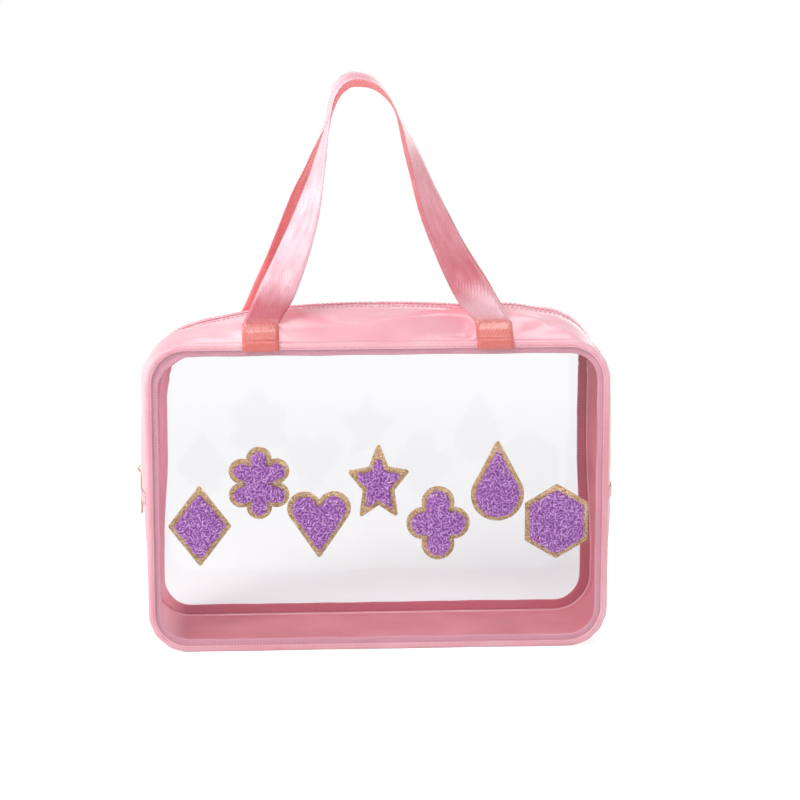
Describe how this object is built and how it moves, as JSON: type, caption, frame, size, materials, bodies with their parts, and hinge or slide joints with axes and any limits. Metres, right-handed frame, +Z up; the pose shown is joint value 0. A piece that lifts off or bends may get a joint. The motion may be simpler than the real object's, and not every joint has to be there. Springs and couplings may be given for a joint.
{
  "type": "zip case",
  "caption": "Clear zip case with a pink gusset, two webbing handles, a zip over the top and a row of looped-pile patches, for carrying a tile game.",
  "frame": {"origin": "middle of the flat face that the case stands on, halfway between the front and back rims", "axes": "+Z up, +X across the case to the right as seen from the front, -Y towards the front with the patches"},
  "size_m": [0.3296, 0.0945, 0.3949],
  "materials": {
    "clear_film": "clear flexible vinyl film, smooth and glossy",
    "coated_fabric": "polyurethane-coated fabric, smooth with a soft gloss",
    "binding": "folded fabric binding, matte",
    "zip_tape": "woven polyester tape",
    "zip_teeth": "moulded nylon teeth",
    "slider_metal": "cast zinc alloy with pale gold plating, polished",
    "webbing": "satin-faced polyester webbing with fine cross ribs",
    "glitter_backing": "gold glitter on felt",
    "looped_pile": "looped chenille pile"
  },
  "bodies": {
    "case": {"front_window": "clear_film", "back_window": "clear_film", "base_gusset": "coated_fabric", "zip_gusset_front_left": "coated_fabric", "zip_gusset_front_right": "coated_fabric", "zip_gusset_back_left": "coated_fabric", "zip_gusset_back_right": "coated_fabric", "front_rim": "coated_fabric", "back_rim": "coated_fabric", "front_binding": "binding", "back_binding": "binding", "joint_band_left": "binding", "joint_band_right": "binding", "zip_tape_front_left": "zip_tape", "zip_tape_front_right": "zip_tape", "zip_tape_back_left": "zip_tape", "zip_tape_back_right": "zip_tape", "zip_teeth_front_left": "zip_teeth", "zip_teeth_front_right": "zip_teeth", "zip_teeth_back_left": "zip_teeth", "zip_teeth_back_right": "zip_teeth", "zip_stop_left": "slider_metal", "zip_stop_right": "slider_metal", "handle_front_tucks": "webbing", "handle_back_tucks": "webbing", "patch_1_backing": "glitter_backing", "patch_1_pile": "looped_pile", "patch_2_backing": "glitter_backing", "patch_2_pile": "looped_pile", "patch_3_backing": "glitter_backing", "patch_3_pile": "looped_pile", "patch_4_backing": "glitter_backing", "patch_4_pile": "looped_pile", "patch_5_backing": "glitter_backing", "patch_5_pile": "looped_pile", "patch_6_backing": "glitter_backing", "patch_6_pile": "looped_pile", "patch_7_backing": "glitter_backing", "patch_7_pile": "looped_pile"},
    "mouth_front": {"mouth_front": "coated_fabric", "zip_tape_front_top": "zip_tape", "zip_teeth_front_top": "zip_teeth", "handle_front_feet": "webbing"},
    "mouth_back": {"mouth_back": "coated_fabric", "zip_tape_back_top": "zip_tape", "zip_teeth_back_top": "zip_teeth", "handle_back_feet": "webbing"},
    "handle_front": {"handle_front": "webbing"},
    "handle_back": {"handle_back": "webbing"},
    "slider": {"slider_body": "slider_metal"},
    "pull": {"slider_pull": "slider_metal"}
  },
  "joints": [
    {"name": "mouth_front_fold", "type": "hinge", "parent": "case", "child": "mouth_front", "pos_m": [0, -0.04, 0.21875], "axis": [1, 0, 0], "range_deg": [0, 55]},
    {"name": "mouth_back_fold", "type": "hinge", "parent": "case", "child": "mouth_back", "pos_m": [0, 0.04, 0.21875], "axis": [-1, 0, 0], "range_deg": [0, 55]},
    {"name": "handle_front_fold", "type": "hinge", "parent": "mouth_front", "child": "handle_front", "pos_m": [0, -0.027, 0.22706], "axis": [1, 0, 0], "range_deg": [0, 85]},
    {"name": "handle_back_fold", "type": "hinge", "parent": "mouth_back", "child": "handle_back", "pos_m": [0, 0.027, 0.22706], "axis": [-1, 0, 0], "range_deg": [0, 85]},
    {"name": "slider_run", "type": "slide", "parent": "case", "child": "slider", "axis": [0, 0, 1], "range_m": [0, 0.058]},
    {"name": "pull_swing", "type": "hinge", "parent": "slider", "child": "pull", "pos_m": [-0.16385, 0, 0.12042], "axis": [0, 1, 0], "range_deg": [0, 150]}
  ]
}
